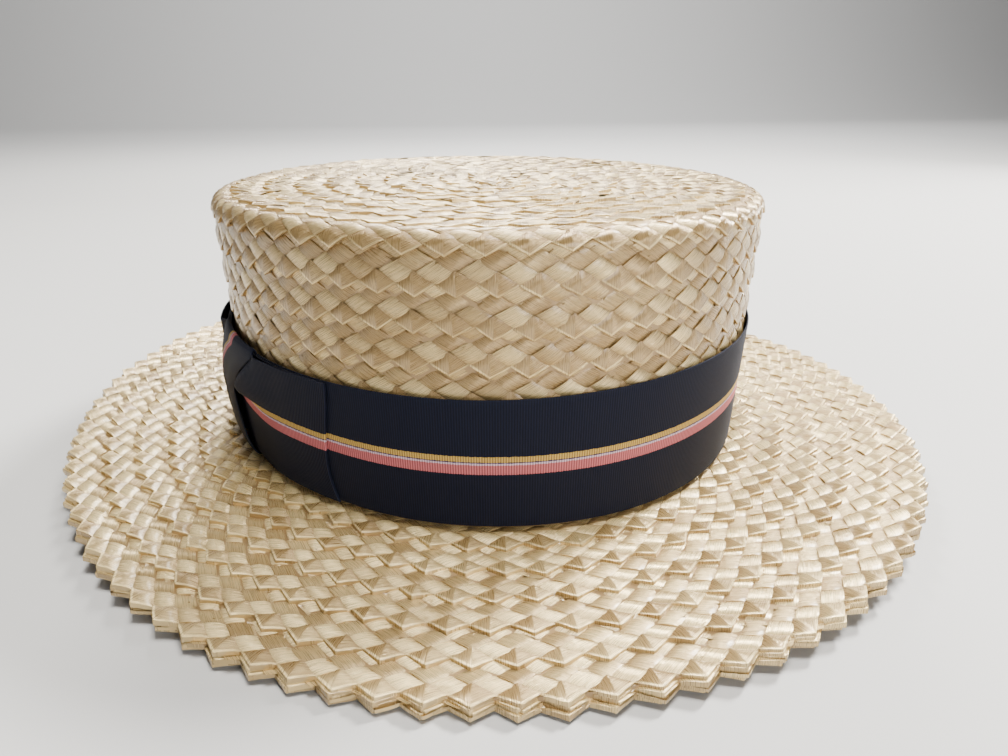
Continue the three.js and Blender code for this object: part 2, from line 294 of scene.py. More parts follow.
# The layers of a row, from its teeth inwards: how high each lies, as a share of a strand's thickness, and the
# part of that height that is kept even where there is no relief.
LAYER_HEIGHTS = (0.9, 0.6, 0.3, 0.15)
HEIGHT_KEPT = 0.4


class Cell:
    """One kind of cell. u and v run along the braid's two slants, and uv along and across its fibres."""

    def __init__(self, u, v, drop, faces, uv, tone, painted_shade):
        self.u, self.v, self.drop = u.ravel(), v.ravel(), drop.ravel()
        self.faces, self.uv, self.tone, self.painted_shade = faces, uv, tone, painted_shade.ravel()


def strand_cell(length, rising, kept):
    along, across = np.meshgrid(STRAND_ALONG[kept], STRAND_ACROSS[kept], indexing="ij")
    down_along, down_across = np.meshgrid(STRAND_ALONG_DROP[kept], STRAND_ACROSS_DROP[kept], indexing="ij")
    drop = down_along + down_across
    # Painted shade: the strand is marked darker where it dips under its neighbours.
    painted_shade = np.clip(drop / FULL_SHADE_DROP, 0, 1)
    faces = grid_triangles(*along.shape)
    uv = np.stack([along.ravel(), across.ravel()], 1)[faces] * length
    # Rising strands are painted lighter as a sheen, falling ones darker as painted shade.
    if rising:
        return Cell(along, across, drop, faces, uv, np.full(faces.shape, PAINTED_SHEEN_RISING), painted_shade)
    tone = np.full(faces.shape, PAINTED_SHADE_FALLING)
    return Cell(across, along, drop, faces[:, ::-1], uv[:, ::-1], tone, painted_shade)


def tooth_cell(length, wall_tone, wall_depth, kept):
    u, v = np.meshgrid(TOOTH_PLACES[kept], TOOTH_PLACES[kept], indexing="ij")
    drop = np.maximum(*np.meshgrid(TOOTH_DROP[kept], TOOTH_DROP[kept], indexing="ij"))
    drop = np.where(drop == TOOTH_DROP[0], wall_depth, drop)
    outer = np.minimum(u, v)
    # Painted shade: the tooth is marked darker where it dips, and its outer walls a little.
    painted_shade = np.where(outer <= -1, TOOTH_WALL_SHADE, np.clip(drop / FULL_SHADE_DROP, 0, 1))
    behind_tip = smooth(RIDGE_FROM, RIDGE_FULL, (u + v) / 2)
    ridge = TOOTH_RIDGE * np.clip(1 - np.abs(u - v) / RIDGE_REACH, 0, 1) * behind_tip
    drop = drop + TOOTH_SINK - ridge
    faces = grid_triangles(*u.shape)
    left = (u - v).ravel()[faces].mean(1) < 0
    inwards = np.stack([(u + v).ravel(), (u - v).ravel()], 1)[faces] * length * FACET_FIBRE_SIZE
    slanting = np.stack([u.ravel(), v.ravel() + FACET_FIBRE_SLIP], 1)[faces] * length
    uv = np.where(left[:, None, None], inwards, slanting)
    # The facets are painted darker as shade, the left more than the right, and the rim lighter as a painted
    # highlight.
    facet = np.where(left[:, None], PAINTED_SHADE_FACET_LEFT, PAINTED_SHADE_FACET_RIGHT)
    rim = (outer.ravel() < RIM_HIGHLIGHT_EDGE)[faces]
    wall = (outer.ravel() <= -1)[faces].any(1)[:, None]
    tone = np.where(wall, wall_tone, np.where(rim, PAINTED_HIGHLIGHT_RIM, facet))
    return Cell(u, v, drop, faces, uv, tone, painted_shade)


Row = namedtuple("Row", "bearings lengths pitch inward tip thickness waves")


def wander(waves, theta):
    return sum(size * np.sin(count * theta + phase) for count, size, phase in waves)


class Braid:
    """Gathers the cells of rows of braid on one surface into one mesh.

    relief is the share of the cells' full relief, evenness how alike their tones are, wall_tone and
    wall_depth belong to the teeth's outer walls, tilt is how far cells lean, and darker is taken off every
    tone.
    """

    def __init__(self, surface, seed, mirrored=False, relief=1.0, evenness=EVENNESS, wall_tone=TONE_WALL,
                 wall_depth=TOOTH_DROP[0], tilt=TILT_SPREAD, darker=0.0, plain=False):
        self.surface = surface
        self.random = np.random.default_rng(seed)
        self.mirrored = mirrored
        self.relief = relief
        self.evenness = evenness
        self.wall_tone = wall_tone
        self.wall_depth = wall_depth
        self.tilt = tilt
        self.darker = darker
        self.kept = (PLAIN_TOOTH, PLAIN_STRAND) if plain else (ALL_PLACES, ALL_PLACES)
        self.points, self.faces, self.uv, self.tone, self.shade = [], [], [], [], []
        self.count = 0

    def add_cells(self, row, cell, x_middles, t_middle, height, tones):
        """Adds a cell at many places along the row."""
        number = len(x_middles)
        spread = self.random.normal(0, 1, (6, number, 1))
        turn = TURN_SPREAD * spread[0]
        grow = 1 + SIZE_SPREAD * spread[1]
        x = (cell.u - cell.v) * row.pitch / 4 * grow
        t = (cell.u + cell.v) * DIAMOND / 2 * grow
        x, t = x - turn * t, t + turn * x
        x = x + x_middles[:, None] + ALONG_SPREAD * spread[2]
        t = t + t_middle + ACROSS_SPREAD * spread[3]
        tilt = self.tilt * (spread[4] * (cell.u - cell.v) + spread[5] * (cell.u + cell.v)) / 2
        slope = -row.thickness * smooth(SLOPE_FROM, SLOPE_TO, t)
        theta = np.interp(np.mod(x, row.lengths[-1]), row.lengths, row.bearings)
        across = row.tip + row.inward * (t + wander(row.waves, theta))
        points = self.surface(theta, across, height + slope - self.relief * cell.drop + tilt)
        per = points.shape[1]
        offsets = self.count + per * np.arange(number)[:, None, None]
        slip = self.random.uniform(-FIBRE_SPREAD, FIBRE_SPREAD, (number, 1, 1, 2))
        self.points.append(points.reshape(-1, 3))
        self.faces.append((cell.faces[None] + offsets).reshape(-1, 3))
        self.uv.append((cell.uv[None] + slip).reshape(-1, 2))
        self.tone.append((tones[:, None, None] - self.darker + cell.tone[None]).ravel())
        self.shade.append(np.tile(cell.painted_shade * self.relief, number))
        self.count += number * per

    def add_row(self, tip, inward, layers=4, lift=0.0, thickness=ROW_THICKNESS, start=None):
        """A row of teeth with its tips at tip, and up to three layers of strands behind them.

        start is where its first tooth is, as a share of a tooth's pitch.
        """
        bearings, lengths = oval_table(self.surface, tip)
        number = max(LEAST_TEETH, round(lengths[-1] / TOOTH_PITCH))
        pitch = lengths[-1] / number
        if start is None:
            start = self.random.uniform(0, 1)
        waves = [
            (count, self.random.normal(0, WAVE_SPREAD), self.random.uniform(0, WAVE_PHASES))
            for count in WAVE_COUNTS
        ]
        row = Row(bearings, lengths, pitch, inward, tip, thickness, waves)
        stations = pitch * (start + np.arange(number))
        between = stations + pitch / 2
        length = math.hypot(pitch / 4, DIAMOND / 2)
        tooth = tooth_cell(length, self.wall_tone, self.wall_depth, self.kept[0])
        rising, falling = (strand_cell(length, way, self.kept[1]) for way in (True, False))
        stack = ((tooth, stations), (rising, between), (falling, stations), (rising, between))
        for layer in reversed(range(layers)):
            cell, middles = stack[layer]
            tones = self.random.beta(self.evenness, self.evenness, number)
            shown = HEIGHT_KEPT + (1 - HEIGHT_KEPT) * self.relief
            height = lift + STRAND_THICKNESS * LAYER_HEIGHTS[layer] * shown
            self.add_cells(row, cell, middles, (layer + 1) * DIAMOND, height, tones)

    def backing(self, places, depth, columns=BACKING_COLUMNS):
        """A plain sheet under the strands, so that no gap between them shows through."""
        theta = np.linspace(0, 2 * math.pi, columns, endpoint=False)
        flat = 0 * theta
        rings = zip(places, np.broadcast_to(depth, len(places)))
        points = np.stack([self.surface(theta, place + flat, -deep + flat) for place, deep in rings])
        i, j = np.meshgrid(np.arange(len(places) - 1), np.arange(columns), indexing="ij")
        a = (i * columns + j).ravel()
        d = (i * columns + (j + 1) % columns).ravel()
        b, c = a + columns, d + columns
        faces = np.concatenate([np.stack([a, b, c], 1), np.stack([a, c, d], 1)])
        self.points.append(points.reshape(-1, 3))
        self.faces.append(faces + self.count)
        self.uv.append(np.zeros((faces.size, 2)))
        self.tone.append(np.full(faces.size, TONE_BACKING))
        # The sheet takes the full painted shade, which shows in the gaps between the strands and in the
        # notches.
        self.shade.append(np.ones(points.size // 3))
        self.count += points.size // 3

    def finish(self, name, material, slot, *nodes):
        faces = np.concatenate(self.faces)
        uv = np.concatenate(self.uv).reshape(-1, 3, 2)
        tone = np.concatenate(self.tone).reshape(-1, 3)
        if self.mirrored:
            faces, uv, tone = faces[:, ::-1], uv[:, ::-1], tone[:, ::-1]
        points, painted_shade = np.concatenate(self.points), np.concatenate(self.shade)
        obj = mesh_object(name, points, faces, material, uv, tone, painted_shade)
        if nodes:
            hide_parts(*nodes)


# Materials


class Nodes:
    """A short way to write a material's nodes."""

    def __init__(self, name, settings):
        self.material = bpy.data.materials.new(name)
        self.material.use_nodes = True
        self.tree = self.material.node_tree
        self.shader = self.tree.nodes["Principled BSDF"]
        for key, value in settings.items():
            self.shader.inputs[key].default_value = value

    def add(self, kind, settings=None, **inputs):
        node = self.tree.nodes.new(kind)
        for key, value in (settings or {}).items():
            setattr(node, key, value)
        for key, value in inputs.items():
            self.set(node, key.replace("_", " "), value)
        return node

    def set(self, node, key, value):
        """Links or sets an input, by its name or, after a #, by its number."""
        socket = node.inputs[int(key[1:])] if key.startswith("#") else node.inputs[key]
        if isinstance(value, bpy.types.NodeSocket):
            self.tree.links.new(value, socket)
        else:
            socket.default_value = value

    def math(self, operation, a, b=0.0, clamp=False):
        node = self.add("ShaderNodeMath", {"operation": operation, "use_clamp": clamp})
        self.set(node, "#0", a)
        self.set(node, "#1", b)
        return node.outputs[0]

    def scaled(self, value, factor, offset):
        result = self.math("MULTIPLY_ADD", value, factor)
        result.node.inputs[2].default_value = offset
        return result

    def noise(self, uv, scale, detail):
        mapping = self.add("ShaderNodeMapping", {}, Vector=uv)
        mapping.inputs["Scale"].default_value = scale
        node = self.add("ShaderNodeTexNoise", {}, Vector=mapping.outputs[0], Scale=1.0, Detail=detail)
        return node.outputs["Fac"]

    def ramp(self, value, stops, interpolation="LINEAR"):
        node = self.add("ShaderNodeValToRGB")
        node.color_ramp.interpolation = interpolation
        elements = node.color_ramp.elements
        while len(elements) < len(stops):
            elements.new(0.5)
        for element, (place, colour) in zip(elements, stops):
            element.position = place
            element.color = (*colour, 1)
        self.set(node, "#0", value)
        return node.outputs["Color"]

    def mix(self, factor, a, b, blend="MIX"):
        node = self.add("ShaderNodeMix", {"data_type": "RGBA", "blend_type": blend})
        self.set(node, "#0", factor)
        self.set(node, "#6", a)
        self.set(node, "#7", b)
        return node.outputs[2]

    def fibre_uv(self):
        return self.add("ShaderNodeUVMap", {"uv_map": FIBRE_MAP}).outputs["UV"]

    def attribute(self, name):
        return self.add("ShaderNodeAttribute", {"attribute_name": name}).outputs["Fac"]

    def bump(self, height, strength, distance):
        node = self.add("ShaderNodeBump", {}, Height=height, Strength=strength, Distance=distance)
        self.set(self.shader, "Normal", node.outputs[0])


STRAW_DARK, STRAW_LIGHT = (0.37, 0.245, 0.095), (0.92, 0.715, 0.34)
FACING_DARK, FACING_LIGHT = (0.35, 0.23, 0.088), (0.88, 0.67, 0.31)
# Painted shade: the colour that recesses and the sheets under the strands are mixed towards, and how far.
PAINTED_SHADE_COLOUR = (0.22, 0.125, 0.05)
PAINTED_SHADE_SHARE = 0.6

# Split straw's satin varnish, with glints drawn out across the fibres.
STRAW_SHADER = {
    "Metallic": 0.45,
    "Specular IOR Level": 1.0,
    "Anisotropic": 0.8,
    "Anisotropic Rotation": 0.25,
    "Coat Weight": 0.25,
    "Coat Roughness": 0.15,
}

# How fast the straw's fibres and its broader bands change along a strand, across it and out of it.
FIBRE_SCALE = (0.16, 6.0, 1.0)
BAND_SCALE = (0.1, 0.9, 1.0)

# What they do to the strand: the bands' whole range of tone, and the fibres' range and least value of
# colour and of roughness, and their relief in metres.
BAND_RANGE = 0.6
STREAK_RANGE, STREAK_LEAST = 0.95, 0.53
ROUGHNESS_RANGE, ROUGHNESS_LEAST = 0.3, 0.14
FIBRE_BUMP, FIBRE_RELIEF = 0.75, 0.0003


def straw_material(name, dark, light):
    """Split straw: each strand has its own tone, fine fibres along it and a satin varnish."""
    n = Nodes(name, STRAW_SHADER)
    uv = n.fibre_uv()
    fibres = n.noise(uv, FIBRE_SCALE, detail=5.0)
    bands = n.noise(uv, BAND_SCALE, detail=3.0)
    value = n.math("ADD", n.attribute("tone"), n.scaled(bands, BAND_RANGE, -BAND_RANGE / 2), clamp=True)
    middle = tuple((a + b) / 2 for a, b in zip(dark, light))
    colour = n.ramp(value, [(0.0, dark), (0.5, middle), (1.0, light)])
    streaked = n.mix(1.0, colour, n.scaled(fibres, STREAK_RANGE, STREAK_LEAST), "MULTIPLY")
    # Painted shade in the recesses, mixed in from the shade mark on the mesh.
    shade_mix = n.math("MULTIPLY", n.attribute("painted_shade"), PAINTED_SHADE_SHARE)
    n.set(n.shader, "Base Color", n.mix(shade_mix, streaked, (*PAINTED_SHADE_COLOUR, 1)))
    n.set(n.shader, "Roughness", n.scaled(fibres, ROUGHNESS_RANGE, ROUGHNESS_LEAST))
    tangent = n.add("ShaderNodeTangent", {"direction_type": "UV_MAP", "uv_map": FIBRE_MAP})
    n.set(n.shader, "Tangent", tangent.outputs[0])
    n.bump(fibres, FIBRE_BUMP, FIBRE_RELIEF)
    return n.material


# The stripe woven along the ribbon, from its top edge down, as shares of the width.
BLACK = (0.0062, 0.0088, 0.0235)
STRIPES = (
    (0.0, BLACK),
    (0.426, (0.54, 0.36, 0.10)),
    (0.469, (0.055, 0.03, 0.09)),
    (0.48, (0.62, 0.47, 0.58)),
    (0.494, (0.53, 0.15, 0.17)),
    (0.569, BLACK),
)

RIBBON_SHADER = {
    "Roughness": 0.7,
    "Specular IOR Level": 0.12,
    "Sheen Weight": 0.05,
    "Sheen Roughness": 0.4,
}

# Ribs across the ribbon, and threads along the ribs: their range and least value of colour, and their shares
# of the relief, which is in metres. The ribs' range of colour is painted shade in the grooves between them.
RIB_PITCH = 0.68
THREAD_SCALE = (1.4, 9.0, 1.0)
RIB_SHADE_RANGE, RIB_SHADE_LEAST = 0.75, 0.4
THREAD_RANGE, THREAD_LEAST = 0.6, 0.7
RIB_SHARE, THREAD_SHARE = 0.6, 0.5
WEAVE_BUMP, WEAVE_RELIEF = 0.3, 0.00012

# How far the stripe's edges stray from thread to thread, as a share of the width.
STRAY_SCALE = (1 / RIB_PITCH, 2.0, 1.0)
STRAY = 0.012


def ribbon_material():
    """Grosgrain: ribs across the ribbon, stripes woven along it, threads that don't quite line up."""
    n = Nodes("Ribbon", RIBBON_SHADER)
    uv = n.fibre_uv()
    split = n.add("ShaderNodeSeparateXYZ", {}, Vector=uv)
    along, across = split.outputs[0], split.outputs[1]
    stray = n.noise(uv, STRAY_SCALE, detail=2.0)
    place = n.math("ADD", n.math("DIVIDE", across, RIBBON_WIDTH), n.scaled(stray, STRAY, -STRAY / 2))
    colour = n.ramp(place, STRIPES, "CONSTANT")
    rib = n.scaled(n.math("COSINE", n.math("MULTIPLY", along, 2 * math.pi / RIB_PITCH)), 0.5, 0.5)
    thread = n.noise(uv, THREAD_SCALE, detail=3.0)
    # The colour is darkened between the ribs as painted shade in the grooves.
    ribbed = n.mix(1.0, colour, n.scaled(rib, RIB_SHADE_RANGE, RIB_SHADE_LEAST), "MULTIPLY")
    woven = n.mix(1.0, ribbed, n.scaled(thread, THREAD_RANGE, THREAD_LEAST), "MULTIPLY")
    n.set(n.shader, "Base Color", woven)
    n.bump(n.math("ADD", n.math("MULTIPLY", rib, RIB_SHARE), n.math("MULTIPLY", thread, THREAD_SHARE)),
           WEAVE_BUMP, WEAVE_RELIEF)
    return n.material


straw = straw_material("Straw", STRAW_DARK, STRAW_LIGHT)
facing_straw = straw_material("FacingStraw", FACING_DARK, FACING_LIGHT)
ribbon = ribbon_material()


# The straw body

# The row whose teeth fold over the shoulder, and how far an inside row's teeth lie from the outside row's.
SIDE_TIP = SHOULDER_END + SHOULDER_ROW_DROP
INSIDE_SHIFT = 3.43 * DIAMOND

# Where rows and the sheets under them stop: short of the crown's foot, of the middle of its tip, and of the
# shoulder, over which they reach a little.
ROW_MARGIN = 1.0
FOOT_MARGIN_INSIDE = 9.0
BACKING_MARGIN = 0.5
SHOULDER_OVERLAP = 2.0
INNERMOST_ROW = 4.0
TIP_BACKING_START = 0.3

# Near the middle of the tip a row has room for fewer layers.
FOUR_LAYERS_RUN, THREE_LAYERS_RUN = 15.0, 12.0

# The same on the brim. Its innermost rows and sheets go under the crown's foot.
BRIM_TOP_FIRST_ROW = 3.0
BRIM_BELOW_FIRST_ROW = -4.0
BRIM_BELOW_MARGIN = 8.0
BRIM_BACKING = np.linspace(-1.5, BRIM_WIDTH - 3.5, 8)

# The layers that show under the brim's edge: how deep each lies, its share of the facing's reach, and how far
# its teeth have slipped along the edge. A ring behind them closes the notches.
FACING_LAYERS = ((2.35, 0.9, -0.045), (1.6, 0.7, 0.035), (0.85, 0.4, -0.03))
EDGE_START = 0.3
NOTCH_RING_INSET = 2.75
NOTCH_RING_DEPTHS = np.linspace(0.2, 3.0, 4)


def rows_between(first, low, high):
    """The toothed edges, a row's pitch apart and one of them at first, that lie between low and high."""
    below = math.floor((first - low) / ROW_PITCH)
    above = math.floor((high - first) / ROW_PITCH)
    return [first + ROW_PITCH * k for k in range(-below, above + 1)]


def make_crown():
    # The crown's sides take darker tones throughout, as painted shade for walls that the overhead light
    # reaches less than the brim.
    side = Braid(crown_outside, seed=11, darker=0.4)
    for tip in rows_between(SIDE_TIP, SHOULDER_END - ROW_MARGIN, FOOT_RUN - ROW_MARGIN)[::-1]:
        thickness = TIP_ROW_THICKNESS if tip == SIDE_TIP else ROW_THICKNESS
        side.add_row(tip, -1, lift=-SIDE_ROW_SINK, thickness=thickness)
    side.backing(np.linspace(TIP_RUN - SHOULDER_OVERLAP, FOOT_RUN - BACKING_MARGIN, 14), depth=1.15)
    side.finish("crown_side", straw, "straw", "crown")

    # The tip's tooth walls are painted light, a painted highlight where the rounded rims catch the light.
    top = Braid(crown_outside, seed=12, relief=0.5, evenness=1.2, wall_tone=0.25, wall_depth=2.6, tilt=0.2,
                darker=0.15)
    for tip in rows_between(SIDE_TIP, INNERMOST_ROW, SHOULDER_END - ROW_MARGIN)[::-1]:
        layers = 4 if tip > FOUR_LAYERS_RUN else 3 if tip > THREE_LAYERS_RUN else 2
        top.add_row(tip, -1, layers, lift=-0.2, thickness=TIP_ROW_THICKNESS)
    top.backing(np.linspace(TIP_BACKING_START, TIP_RUN, 8), depth=1.05)
    top.finish("crown_tip", straw, "straw")

    inside = Braid(crown_inside, seed=13, plain=True)
    for tip in rows_between(SIDE_TIP - INSIDE_SHIFT, INNERMOST_ROW, FOOT_RUN - FOOT_MARGIN_INSIDE):
        inside.add_row(tip, 1, layers=3)
    inside.backing(np.linspace(TIP_BACKING_START, FOOT_RUN - BACKING_MARGIN, 22)[::-1], depth=0.75)
    inside.finish("crown_inside", straw, "straw")


def make_brim():
    top = Braid(brim_top, seed=21, wall_depth=1.3)
    for tip in rows_between(BRIM_WIDTH, BRIM_TOP_FIRST_ROW, BRIM_WIDTH + ROW_MARGIN)[::-1]:
        top.add_row(tip, -1, start=EDGE_START if tip == BRIM_WIDTH else None)
    top.backing(BRIM_BACKING[::-1], depth=0.95)
    top.finish("brim_top", straw, "straw", "brim")

    below = Braid(brim_below, seed=22, relief=0.6, plain=True)
    outermost = BRIM_WIDTH - INSIDE_SHIFT
    for tip in rows_between(outermost, BRIM_BELOW_FIRST_ROW, BRIM_WIDTH - BRIM_BELOW_MARGIN):
        layers = 3 if tip < outermost - ROW_MARGIN else 2
        below.add_row(tip, 1, layers, lift=-0.3, thickness=0.3)
    below.backing(BRIM_BACKING, depth=0.7)
    below.finish("brim_underside", straw, "straw")


def make_facing():
    edge = Braid(brim_top, seed=31, wall_depth=1.35)
    for depth, reach, slip in FACING_LAYERS:
        edge.add_row(BRIM_WIDTH + reach * FACING_REACH, -1, layers=2, lift=-depth, start=EDGE_START + slip)
    ring = np.full(len(NOTCH_RING_DEPTHS), BRIM_WIDTH - NOTCH_RING_INSET)
    edge.backing(ring, NOTCH_RING_DEPTHS, columns=2 * BACKING_COLUMNS)
    edge.finish("facing_edge", facing_straw, "facing_straw")

    below = Braid(facing_below, seed=32, mirrored=True)
    below.add_row(BRIM_WIDTH + FACING_REACH, -1, layers=3, lift=-0.55, start=EDGE_START)
    below.finish("facing_below", facing_straw, "facing_straw", "brim_facing")

    inner = Braid(facing_below, seed=33)
    inner.add_row(BRIM_WIDTH - FACING_WIDTH, 1, layers=3, lift=-0.95)
    inner.finish("facing_inner_edge", facing_straw, "facing_straw")


make_crown()
make_brim()
make_facing()


# The ribbon

RIB_HEIGHT = 0.045
RIB_STEPS = 4
RIBBON_STAND = 1.05
SEAM_BEARING = math.radians(160)

# Places near a ribbon's edge and the thickness lost there, and where the even places between them start.
EDGE_PLACES = np.array([0.0, 0.0, 0.25])
EDGE_DROPS = np.array([0.4, 0.05, 0.0])
EDGE_MARGIN = 1.5

# The ribbon lies a little higher on one side of the hat: where that is, how far its bottom and top edges
# lie from the CAD band's, what they gain at that side, and what the bottom edge gains at the other.
HIGH_BEARING = math.radians(-20)
LOW_EDGE_SHIFT, HIGH_EDGE_SHIFT = 0.6, -0.5
LOW_EDGE_GAIN, HIGH_EDGE_GAIN = -0.1, 1.9
LOW_EDGE_FAR_GAIN, FAR_SIDE = 1.1, 0.8

# It leans in and out a little as it goes round.
LEAN_SIZE, LEANS_ROUND, LEAN_PHASE = 0.12, 5, 1


def strip(name, surface, length, width, count, node, closed=False):
    """A ribbed ribbon. surface(along, across) gives points, and the way out of the cloth there."""
    middle = np.linspace(EDGE_MARGIN, width - EDGE_MARGIN, count)
    across = np.concatenate([EDGE_PLACES, middle, width - EDGE_PLACES[::-1]])
    drops = np.concatenate([EDGE_DROPS, np.zeros(count), EDGE_DROPS[::-1]])
    steps = RIB_STEPS * round(length / RIB_PITCH)
    along = np.linspace(0, length, steps, endpoint=not closed)
    s, t = np.meshgrid(along, across, indexing="ij")
    points, outward = surface(s, t)
    rib = RIB_HEIGHT * np.cos(2 * math.pi * s / RIB_PITCH)
    points = points + outward * (rib - drops)[..., None]
    columns = len(across)
    i, j = np.meshgrid(np.arange(steps if closed else steps - 1), np.arange(columns - 1), indexing="ij")
    a, b = (i * columns + j).ravel(), ((i + 1) % steps * columns + j).ravel()
    faces = np.stack([a, b, b + 1, a + 1], 1)
    uv = np.stack([s.ravel(), t.ravel()], 1)[faces]
    if closed:
        uv[i.ravel() == steps - 1, 1:3, 0] = length
    obj = mesh_object(name, points.reshape(-1, 3), faces, ribbon, uv)
    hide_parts(node)
    return obj


def around_band():
    """Bearings round the ribbon from its hidden seam, and the length of ribbon up to each."""
    theta = np.linspace(-math.pi, math.pi, BAND_STATIONS) + SEAM_BEARING
    points = oval(theta, wall_out(RIBBON_WIDTH / 2) + RIBBON_STAND, 0 * theta)
    return theta, lengths_along(points)


BAND_BEARINGS, BAND_ROUND = around_band()
BAND_LENGTH = BAND_ROUND[-1]


def band_edges(bearing):
    """The heights of the ribbon's bottom and top edges."""
    side = np.cos(bearing - HIGH_BEARING)
    near, far = smooth(0, 1, side), smooth(0, FAR_SIDE, -side)
    low = RIBBON_LOW + LOW_EDGE_SHIFT + LOW_EDGE_GAIN * near + LOW_EDGE_FAR_GAIN * far
    return low, RIBBON_TOP + HIGH_EDGE_SHIFT + HIGH_EDGE_GAIN * near


def on_band(bearing, stand, z):
    """A point that stands off the crown's wall, and the way out there."""
    points = oval(bearing, wall_out(z) + stand, z)
    return points, np.stack([np.cos(bearing), np.sin(bearing), 0 * bearing], -1)


def band_surface(s, t):
    bearing = np.interp(s, BAND_ROUND, BAND_BEARINGS)
    low, high = band_edges(bearing)
    z = high - t * (high - low) / RIBBON_WIDTH
    lean = LEAN_SIZE * np.sin(LEANS_ROUND * bearing + LEAN_PHASE) * (t / RIBBON_WIDTH - 0.5)
    return on_band(bearing, RIBBON_STAND + lean, z)


def make_band():
    obj = strip("ribbon_band", band_surface, BAND_LENGTH, RIBBON_WIDTH, 9, "hatband", closed=True)


# The bow. Lengths along it are measured from the knot's middle, towards the back of the hat if positive,
# and a loop's ribbon runs out on the band, folds, and comes back over itself.
KNOT_AT = np.interp(KNOT_BEARING + 2 * math.pi, BAND_BEARINGS, BAND_ROUND)
LOOP_REACH = 73.0
REAR_LOOP_START = 8.0
FRONT_LOOP_START = -6.0
LOOP_LOW = RIBBON_LOW + 1.0
LOOP_HIGH = RIBBON_TOP - 0.6

# The fold at a loop's end: its radius, how far its under leg stands off the band, how far its edge slants,
# and the length over which the outer leg leaves it.
LOOP_FOLD = 0.36
LOOP_UNDER = 0.35
FOLD_SLANT = 5.0
FOLD_RELEASE = 6.0

# How far the outer leg stands off the band near the fold, and from where to where along the loop it rises.
FLAT_STAND, FLAT_RISE = 1.15, 0.7
FLAT_FROM, FLAT_TO = 66.0, 40.0

# Nearer the knot its upper part stands out over its lower part, as a nose: the stretch over which that sets
# in, the height of the step between the parts and its half width as shares of the ribbon's, how far the
# parts stand off, and how much of that the nose loses towards the top edge.
NOSE_FROM, NOSE_TO = 52.0, 26.0
STEP_SHARE, STEP_SPREAD, STEP_SHARPENING = 0.57, 0.16, 0.12
NOSE_FOOT, NOSE_RISE = 1.2, 3.5
NOSE_LOSS, NOSE_LOSS_FROM = 0.4, 0.75

# At the knot's edge the leg is pressed down: how far it still stands off, how far along it recovers, and
# how much further the knot covers the top of the front loop.
LOOP_PRESSED = 1.25
PRESS_INSIDE, PRESS_OUTSIDE, PRESS_OUTSIDE_LOW = 1.0, 3.2, 9.0
FRONT_TUCK, TUCK_FROM, TUCK_TO = 3.0, 0.66, 0.86

# The knot's middle leans towards the back of the hat, from its waist down and from its waist up.
KNOT_HALF_WIDTH = RIBBON_WIDTH / 2
KNOT_WAIST_Z = 19.0
KNOT_LEAN_LOW, LEAN_POWER_LOW = 7.0, 1.4
KNOT_LEAN_HIGH, LEAN_POWER_HIGH = 17.5, 1.6
KNOT_UPPER_HEIGHT, LEAN_LIMIT = 17.0, 1.1

# The knot's ribbon from where it is tucked in at the bottom to where it goes in over the top: how far it
# stands off the band, and its height.
KNOT_PATH = np.array([
    (-0.3, 0.6), (0.6, 0.5), (1.8, 0.8), (3.2, 2.2), (4.4, 5.5), (5.2, 12.5), (5.4, 21.5), (4.5, 29.5),
    (3.2, 35.6), (1.9, 39.3), (0.7, 40.6), (-0.2, 40.3), (-0.4, 38.4),
])
KNOT_STATIONS = 241
ROUNDING_STATIONS = 8

# Where the knot stands off more than the least, it bulges in the middle, and pleats run through its waist.
BULGE, BULGE_STAND = 0.24, 0.6
PLEAT_SIZE, PLEAT_TURN, PLEAT_PHASE = 0.22, 9, 0.6
PLEAT_HEIGHT, PLEAT_STAND = 12.0, 1.0


def bearing_along(along):
    return np.interp(KNOT_AT + along, BAND_ROUND, BAND_BEARINGS)


def knot_lean(z):
    """How far the knot's middle leans towards the back of the hat."""
    low = KNOT_LEAN_LOW * np.clip(1 - z / KNOT_WAIST_Z, 0, 1) ** LEAN_POWER_LOW
    up = np.clip((z - KNOT_WAIST_Z) / KNOT_UPPER_HEIGHT, 0, LEAN_LIMIT)
    return low + KNOT_LEAN_HIGH * up**LEAN_POWER_HIGH


def loop_stand(along, share, side):
    """How far the loop's outer leg stands off the band.

    share is 0 at the ribbon's bottom and 1 at its top.
    """
    flat = FLAT_STAND + FLAT_RISE * smooth(FLAT_FROM, FLAT_TO, along)
    near = smooth(NOSE_FROM, NOSE_TO, along)
    spread = STEP_SPREAD - STEP_SHARPENING * near
    rise = smooth(STEP_SHARE - spread, STEP_SHARE + spread, share)
    nose = NOSE_FOOT + NOSE_RISE * rise * (1 - NOSE_LOSS * smooth(NOSE_LOSS_FROM, 1.0, share))
    free = flat * (1 - near) + near * nose
    knot_edge = KNOT_HALF_WIDTH + side * knot_lean(LOOP_LOW + (LOOP_HIGH - LOOP_LOW) * share)
    if side < 0:
        knot_edge = knot_edge + FRONT_TUCK * smooth(TUCK_FROM, TUCK_TO, share)
    outside = PRESS_OUTSIDE + PRESS_OUTSIDE_LOW * (1 - rise)
    freed = smooth(knot_edge - PRESS_INSIDE, knot_edge + outside, along)
    return LOOP_PRESSED + (free - LOOP_PRESSED) * freed


